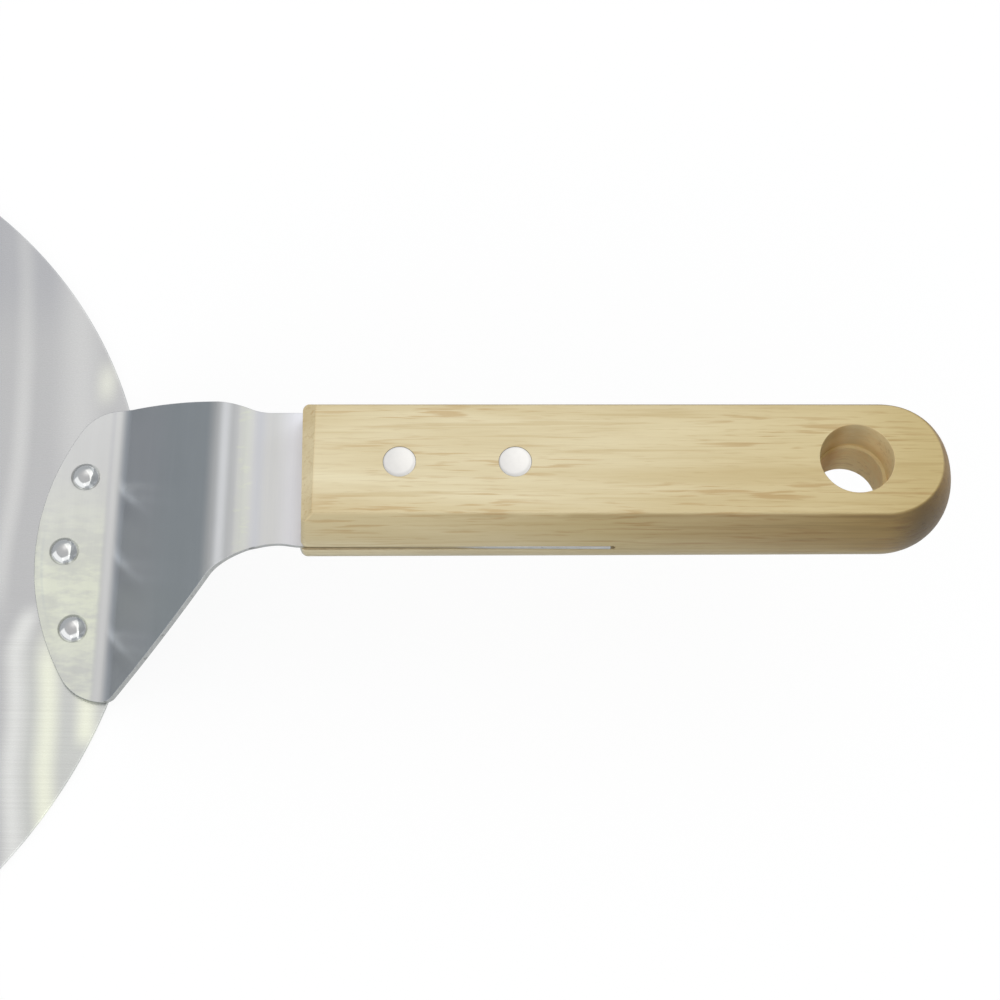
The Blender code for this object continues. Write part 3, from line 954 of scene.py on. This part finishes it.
def make_shank_steel():
    """Satin sheet brushed across the lifter: a mottled foot with painted warm light, a riser
    darkened by a painted reflection, painted highlights at the high bend, and painted shade and
    sheen on the neck.
    """
    shader, place = new_finish("satin_steel", (0.6, 0.6, 0.59), 1, 0.31, Anisotropic=1)
    spread_along(shader, 0)
    lines = cloud(place, (2400, 30, 30), 4, 0.6)
    patches = cloud(place, (190, 480, 190), 4, 0.6)
    soft = cloud(place, (220, 30, 30), 3, 0.5)
    x, y, _ = split(place)
    colour = tint(lines, (0.595, 0.595, 0.595), (0.635, 0.635, 0.625))
    colour = multiplied(1, colour, between(soft, 0.3, 0.7, 0.98, 1.02))
    colour = mottle_foot(colour, x, y, place, patches)
    # Painted shade in the crease before the low bend
    colour = banded(colour, x, [LOW_CREASE_SHADE])
    colour = darken_riser(colour, x, y)
    # Painted highlights along the high bend
    colour = banded(colour, x, HIGH_BEND_HIGHLIGHTS)
    specked = times(between(patches, 0.52, 0.66), between(x, 0.1522, 0.1528))
    specked = times(specked, until(x, 0.156, 0.157))
    colour = multiplied(specked, colour, (1.05, 1.06, 1))
    # Painted shade on the neck
    colour = banded(colour, x, [NECK_SHADE])
    # Painted sheen on the neck next to the grip
    colour = multiplied(between(x, *NECK_SHEEN), colour, (1.24, 1.24, 1.32))
    paint(shader, colour, plus(times(lines, 0.06), 0.28))
    raise_surface(shader, lines, 0.000003)


def make_sheared_steel():
    """The sheet's cut edges, dull, and darkened where the saw cut hides them."""
    shader, place = new_finish("sheared_steel", (0.4, 0.41, 0.41), 1, 0.45)
    scores = cloud(place, (900, 900, 300), 3, 0.6)
    ragged_end = cloud(place, (120, 400, 400), 2, 0.5)
    specks = cloud(place, (300, 300, 300), 3, 0.6)
    colour = tint(scores, (0.3, 0.31, 0.31), (0.52, 0.53, 0.52))
    along = split(place)[0]
    seat = GRIP_SEAT_SPOT[0]
    # Darker brown where the edge lies inside the saw cut, with a ragged end to that stretch
    darkened_to = plus(along, times(ragged_end, 0.02))
    hidden = times(between(along, seat - 0.001, seat + 0.001), until(darkened_to, 0.212, 0.222))
    colour = tint(hidden, colour, (0.34, 0.29, 0.18))
    colour = tint(between(specks, 0.64, 0.72, 0, 0.7), colour, (0.14, 0.14, 0.14))
    paint(shader, colour, plus(times(scores, 0.2), 0.35))
    raise_surface(shader, scores, 0.00002)


def make_polished_steel():
    """Polished rivet heads with faint smudges, and a painted lighter reflection on their side
    towards the riser.
    """
    shader, place = new_finish("rivet_steel", (0.56, 0.56, 0.55), 1, 0.11)
    smudges = cloud(place, (260, 260, 260), 3, 0.6)
    colour = tint(smudges, (0.52, 0.52, 0.52), (0.62, 0.62, 0.61))
    x, y, _ = split(place)
    (middle_x, _), (outer_x, _), _ = FOOT_RIVET_PLACES
    past_middle = plus(x, between(unsigned(y), 0.008, 0.012, -middle_x, -outer_x))
    # Painted lighter reflection on each head's side towards the riser
    colour = multiplied(between(past_middle, 0.0011, 0.0019), colour, (1.55, 1.55, 1.52))
    paint(shader, colour, plus(times(smudges, 0.12), 0.06))
    raise_surface(shader, smudges, 0.00002)


def make_bright_aluminium():
    """Sanded pins with faint scratches, and painted shade round their edge."""
    shader, place = new_finish("pin_aluminium", (0.86, 0.85, 0.84), 1, 0.4)
    scratches = cloud(place, (150, 5000, 5000), 3, 0.6)
    smudges = cloud(place, (350, 350, 350), 3, 0.6)
    colour = tint(smudges, (0.75, 0.735, 0.71), (0.87, 0.85, 0.82))
    placed = seen_from_grip(place)
    for x, y in GRIP_RIVET_PLACES:
        away = distance_from(placed, (x - 0.0002, y + 0.0003, GRIP_HALF_THICKNESS))
        # Painted shade round the pin's edge, a little off its middle
        colour = banded(colour, away, [(GRIP_RIVET_RADIUS, 0.0008, (0.82, 0.82, 0.82))])
    paint(shader, colour, plus(times(scratches, 0.25), 0.3))
    raise_surface(shader, scratches, 0.00001)


# Wood of the grip. Places and heights are the grip's own, from its front end and its middle.
PAST_FACE_EDGE = (-0.0001, 0.0007)  # where a side starts, from the edge of the flat face
CHAMFER_EDGE = (-0.0001, 0.0004)
REAR_BROWN = (0.118, 0.145)
SIDE_BROWN = (0.105, 0.13)
LOW_STRIP = (-0.0085, -0.002)
UNDER_KERF = (-0.0016, -0.0006)
NEAR_FRONT_SHADE = ((-0.011, -0.004), (0.008, 0.026), (0.0105, 0.0113))


def dark_flecks(place):
    """Short dark pores in groups, all drawn out along the grip."""
    pores = cloud(place, (75, 1150, 1150), 2, 0.5, 0.2)
    groups = cloud(place, (18, 95, 95), 2, 0.5)
    return times(between(pores, 0.54, 0.66), between(groups, 0.4, 0.58, 0.08, 1))


def draw_grain(place, fibres, flecks):
    """Broad tones of the wood, with its fibres, lines and flecks."""
    tone = cloud(place, (9, 80, 80), 3, 0.55, 0.4)
    long_lines = cloud(place, (28, 900, 900), 2, 0.5)
    short_lines = cloud(place, (150, 1900, 1900), 2, 0.5)
    colour = tint(between(tone, 0.35, 0.65), (0.765, 0.675, 0.45), (0.66, 0.55, 0.325))
    colour = tint(between(fibres, 0.35, 0.75, 0, 0.14), colour, (0.5, 0.4, 0.22))
    colour = tint(between(long_lines, 0.55, 0.72, 0, 0.4), colour, (0.54, 0.41, 0.2))
    colour = tint(between(short_lines, 0.55, 0.75, 0, 0.28), colour, (0.5, 0.36, 0.17))
    return tint(times(flecks, 0.6), colour, (0.5, 0.33, 0.14))


def streak_sides(colour, place, side, rear, reach):
    """Dark streaks along the sides, and a broken line where they meet the top face."""
    along, _, height = split(place)
    streaks = cloud(place, (25, 700, 700), 3, 0.6)
    streaks = times(between(streaks, 0.5, 0.7, 0, 0.5), side)
    colour = multiplied(times(streaks, rear), colour, (0.62, 0.58, 0.5))
    broken = cloud(place, (45, 0, 0), 2, 0.5)
    line = times(band(reach, GRIP_FACE_HALF_WIDTH + 0.0004, 0.00045), between(height, 0, 0.003))
    line = times(line, between(broken, 0.38, 0.55, 0.15, 0.9))
    line = times(line, between(along, 0.02, 0.05))
    return multiplied(line, colour, (0.74, 0.68, 0.58))


def shade_under_kerf(colour, side, along, height):
    """Painted reflected light low on the sides, which turns them greyer, with a painted shadow and
    a painted lighter stretch right under the saw cut.
    """
    low = times(until(height, *LOW_STRIP), between(along, 0.02, 0.08, 0.72, 0.42))
    strip = tint(between(along, 0.04, 0.09), (0.375, 0.345, 0.25), (0.43, 0.405, 0.31))
    # Painted reflected light low on the sides
    colour = tint(times(low, side), colour, strip)
    under = times(side, until(height, *UNDER_KERF))
    dark_under = times(band(along, 0.036, 0.024), under)
    # Painted shadow right under the saw cut
    colour = multiplied(dark_under, colour, (0.9, 0.9, 0.89))
    pale_under = times(between(along, 0.08, 0.1), under)
    # Painted light under the saw cut, further back
    return multiplied(pale_under, colour, (1.06, 1.08, 1.1))


def make_pale_wood():
    """Pale wood that turns browner towards its round end and on its sides, with painted shade on
    its sides, its front chamfer and its round end, and painted light along the chamfer's corner and
    low on its sides.
    """
    shader, place = new_finish("grip_wood", (0.7, 0.6, 0.4), 0, 0.5)
    place = seen_from_grip(place)
    fibres = cloud(place, (90, 2800, 2800), 3, 0.6)
    along, across, height = split(place)

    # The sides, the front chamfer, the corner between them and the round end
    past_centre = minus(along, GRIP_ROUND_CENTRE)
    past_centre = node(place, "Math", {0: past_centre, 1: 0}, operation="MAXIMUM").outputs[0]
    spoke = node(place, "CombineXYZ", {0: past_centre, 1: across}).outputs[0]
    reach = node(place, "VectorMath", {0: spoke}, operation="LENGTH").outputs["Value"]
    side = between(reach, *(GRIP_FACE_HALF_WIDTH + past for past in PAST_FACE_EDGE))
    slope = plus(along, times(height, -1))
    planed_to = GRIP_FRONT_CHAMFER - GRIP_HALF_THICKNESS
    planed = until(slope, *(planed_to + past for past in CHAMFER_EDGE))
    corner = times(side, band(slope, planed_to + 0.0005, 0.0003))
    side = times(side, node(place, "Math", {0: 1, 1: planed}, operation="SUBTRACT").outputs[0])
    end = times(side, between(past_centre, 0, 0.009))
    rear = between(along, 0.03, GRIP_LENGTH)

    flecks = times(dark_flecks(place), between(along, 0, GRIP_FRONT_CHAMFER, 0.25, 1))
    colour = draw_grain(place, fibres, flecks)
    colour = multiplied(rear, colour, (0.79, 0.72, 0.545))
    colour = multiplied(between(along, *REAR_BROWN), colour, (0.88, 0.85, 0.75))
    # Painted shade on the sides, deepening towards the rear
    shade = tint(between(along, 0, 0.15), (0.86, 0.85, 0.82), (0.46, 0.4, 0.3))
    colour = multiplied(side, colour, shade)
    colour = multiplied(times(side, between(along, *SIDE_BROWN)), colour, (0.96, 0.95, 0.86))
    # Painted shade on the front chamfer
    colour = multiplied(planed, colour, (0.95, 0.91, 0.85))
    # Painted shade on the top face near its front end, on the near side
    near_side, front, on_top = NEAR_FRONT_SHADE
    near_front = times(until(across, *near_side), until(along, *front))
    near_front = times(near_front, between(height, *on_top))
    colour = multiplied(near_front, colour, (0.95, 0.93, 0.9))
    belly = times(side, band(along, 0.068, 0.025))
    colour = multiplied(belly, colour, (0.965, 0.96, 0.9))
    # Painted highlight on the side along its edge with the chamfer
    colour = multiplied(corner, colour, (1.15, 1.15, 1.15))
    colour = streak_sides(colour, place, side, rear, reach)
    colour = shade_under_kerf(colour, side, along, height)
    # Darker end grain on the round end, with painted shade deepening across to its near half
    end_grain_and_shade = tint(between(across, -0.014, 0), (0.4, 0.38, 0.3), (1, 0.96, 0.93))
    colour = multiplied(end, colour, end_grain_and_shade)
    # Painted sheen on the round end: warmer high on its wall than lower down
    upper = times(end, between(height, 0.006, 0.0105))
    colour = multiplied(upper, colour, (1.06, 0.98, 0.68))
    jaw = times(until(along, -0.0007, 0.0003), until(height, -0.001, -0.0004))
    jaw = times(jaw, until(across, -0.016, -0.015))
    colour = tint(jaw, colour, (0.52, 0.53, 0.5))
    paint(shader, colour, plus(times(fibres, 0.2), 0.42))
    surface = plus(times(fibres, 0.4), times(flecks, -0.6))
    raise_surface(shader, surface, 0.00003)


def shade_bore(colour, place):
    """Painted shade above the ledge, at the mouth and on the side towards the blade, with a pale
    lip.
    """
    along, _, height = split(place)
    top = GRIP_HALF_THICKNESS
    ledge = top - HOLE_LEDGE_DEPTH
    middle = GRIP_LENGTH - HOLE_FROM_END
    above = between(height, ledge - 0.0004, ledge + 0.0002)
    front = until(along, middle - HOLE_RADIUS, middle - 0.001)
    dim = until(along, middle - 0.0045, middle + 0.0005)
    mouth = between(height, top - 0.008, top - 0.002)
    over_lip = between(height, ledge + 0.0003, ledge + 0.0013)
    rear_wall = times(band(along, middle + 0.0005, 0.0055), over_lip)
    colour = banded(colour, height, [(ledge - 0.0001, 0.0005, (0.94, 0.97, 0.96))])
    # Painted shade inside the bore
    colour = multiplied(above, colour, (0.92, 0.86, 0.76))
    colour = multiplied(mouth, colour, (0.74, 0.73, 0.71))
    colour = multiplied(times(front, above), colour, (0.8, 0.95, 1.1))
    colour = multiplied(rear_wall, colour, (0.74, 0.75, 0.77))
    return multiplied(dim, colour, (0.58, 0.46, 0.31))


def shade_saw_cut(colour, place):
    """Painted shade on the upper side of the cut."""
    height = split(place)[2]
    return multiplied(between(height, -0.0004, 0.0002), colour, (0.49, 0.46, 0.41))


def make_cut_wood(name, light, dark, shade):
    """Wood that a drill or saw has torn, with the painted shade of its own cut."""
    shader, place = new_finish(name, light, 0, 0.75)
    place = seen_from_grip(place)
    torn = cloud(place, (320, 320, 500), 5, 0.65)
    colour = shade(tint(between(torn, 0.35, 0.75), light, dark), place)
    colour = tint(times(dark_flecks(place), 0.25), colour, (0.4, 0.25, 0.1))
    paint(shader, colour, plus(times(torn, 0.2), 0.6))
    raise_surface(shader, torn, 0.00015)


# Studio


def make_floor():
    """A wide plain floor just under the disc, white to the camera except where the shadow falls."""
    floor = new_piece(
        "floor", bpy.ops.mesh.primitive_plane_add, size=FLOOR_SIZE, location=(0.1, 0, -FLOOR_DROP)
    )
    settle(floor)
    material = bpy.data.materials.new("pale_floor")
    material.use_nodes = True
    nodes = material.node_tree.nodes
    shader = nodes["Principled BSDF"]
    shader.inputs["Roughness"].default_value = 0.9
    shader.inputs["Specular IOR Level"].default_value = 0
    path = node(shader, "LightPath", {}).outputs
    colour = tint(path["Is Diffuse Ray"], (0.98, 0.98, 0.98), (0.35, 0.35, 0.35))
    feed(shader, "Base Color", colour)
    seen = plus(times(path["Is Camera Ray"], 0.9), times(path["Is Glossy Ray"], 0.3))
    white = node(shader, "Emission", {"Color": (1, 1, 1, 1), "Strength": 1})
    mixed = node(shader, "MixShader", {0: seen, 1: shader.outputs[0], 2: white.outputs[0]})
    feed(nodes["Material Output"], "Surface", mixed.outputs[0])
    floor.data.materials.append(material)


def toward(azimuth, elevation):
    """The direction of an azimuth and elevation in degrees."""
    turn, rise = math.radians(azimuth), math.radians(elevation)
    return Vector(
        (math.cos(rise) * math.cos(turn), math.cos(rise) * math.sin(turn), math.sin(rise))
    )


def facing(way, direction):
    """How far a direction of view points along another."""
    return node(way, "VectorMath", {0: way, 1: direction}, operation="DOT_PRODUCT").outputs["Value"]


def brighten(light, colour, share):
    """Add a share of a colour to the light."""
    more = node(light, "VectorMath", {0: colour, 3: share}, operation="SCALE").outputs[0]
    return node(light, "VectorMath", {0: light, 1: more}, operation="ADD").outputs[0]


def window_share(way, azimuth, elevation, half_width, half_height):
    """1 inside a window of the room and 0 outside it, with a soft edge."""
    half_width, half_height = (math.sin(math.radians(half)) for half in (half_width, half_height))
    across = facing(way, toward(azimuth + 90, 0))
    rise = facing(way, toward(azimuth + 180, 90 - elevation))
    inside = between(facing(way, toward(azimuth, elevation)), 0, 0.1)
    for distance, half in ((across, half_width), (rise, half_height)):
        edge = until(unsigned(distance), half - WINDOW_SOFTNESS, half + WINDOW_SOFTNESS)
        inside = times(inside, edge)
    return inside


def light_studio():
    """A pale room with lit windows on three sides and a soft glow high on one side."""
    world = bpy.data.worlds.new("studio")
    world.use_nodes = True
    bpy.context.scene.world = world
    background = world.node_tree.nodes["Background"]
    seen_way = node(background, "TexCoord", {}).outputs["Generated"]
    way = node(background, "VectorMath", {0: seen_way}, operation="NORMALIZE").outputs[0]
    height = split(way)[2]
    light = tint(between(height, 0.3, 1), (0.65, 0.68, 0.71), (0.78, 0.78, 0.79))
    off_glow = times(plus(facing(way, toward(*GLOW_PLACE)), -1), GLOW_SHARPNESS)
    glow = node(background, "Math", {0: off_glow}, operation="EXPONENT").outputs[0]
    light = brighten(light, GLOW_COLOUR, glow)
    for colour, *place in WINDOWS:
        light = brighten(light, colour, window_share(way, *place))
    feed(background, "Color", light)
    background.inputs["Strength"].default_value = 1


def place_camera():
    """The photo's view, from above the near side of the grip."""
    camera = bpy.data.objects.new("camera", bpy.data.cameras.new("camera"))
    bpy.context.collection.objects.link(camera)
    camera.data.sensor_width = 36
    camera.data.lens = CAMERA_LENS
    camera.data.clip_start = 0.01
    turn = Matrix.Rotation(-CAMERA_LEAN, 4, "Y") @ Matrix.Rotation(CAMERA_TILT, 4, "X")
    camera.matrix_world = Matrix.Translation(CAMERA_PLACE) @ turn
    bpy.context.scene.camera = camera


def dress(piece, node_name):
    """Smooth a piece and let it stand for its node."""
    smooth(piece)
    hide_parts(node_name)
    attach(piece, "root")


FINISHES = {}
make_disc_steel()
make_shank_steel()
make_sheared_steel()
make_polished_steel()
make_bright_aluminium()
make_pale_wood()
make_cut_wood("bored_wood", (1, 0.87, 0.55), (0.97, 0.79, 0.47), shade_bore)
make_cut_wood("sawn_wood", (0.5, 0.4, 0.24), (0.38, 0.29, 0.16), shade_saw_cut)

disc = make_disc()
shank = make_shank()
head = make_foot_rivet()
give_finish(head, "rivet_steel")
give_finish(disc, "disc_steel")
drill_for_foot_rivets([disc, shank])
heads = place_foot_rivets(head)
grip = make_grip()
pins = [make_grip_rivet(number, x, y) for number, (x, y) in enumerate(GRIP_RIVET_PLACES, 1)]

dress(disc, "blade")
dress(shank, "shank")
for number, copy in enumerate(heads, 1):
    dress(copy, f"foot_rivet_{number}")
dress(grip, "grip")
for number, pin in enumerate(pins, 1):
    dress(pin, f"grip_rivet_{number}")

make_floor()
light_studio()
place_camera()
bpy.context.scene.view_settings.view_transform = "Standard"
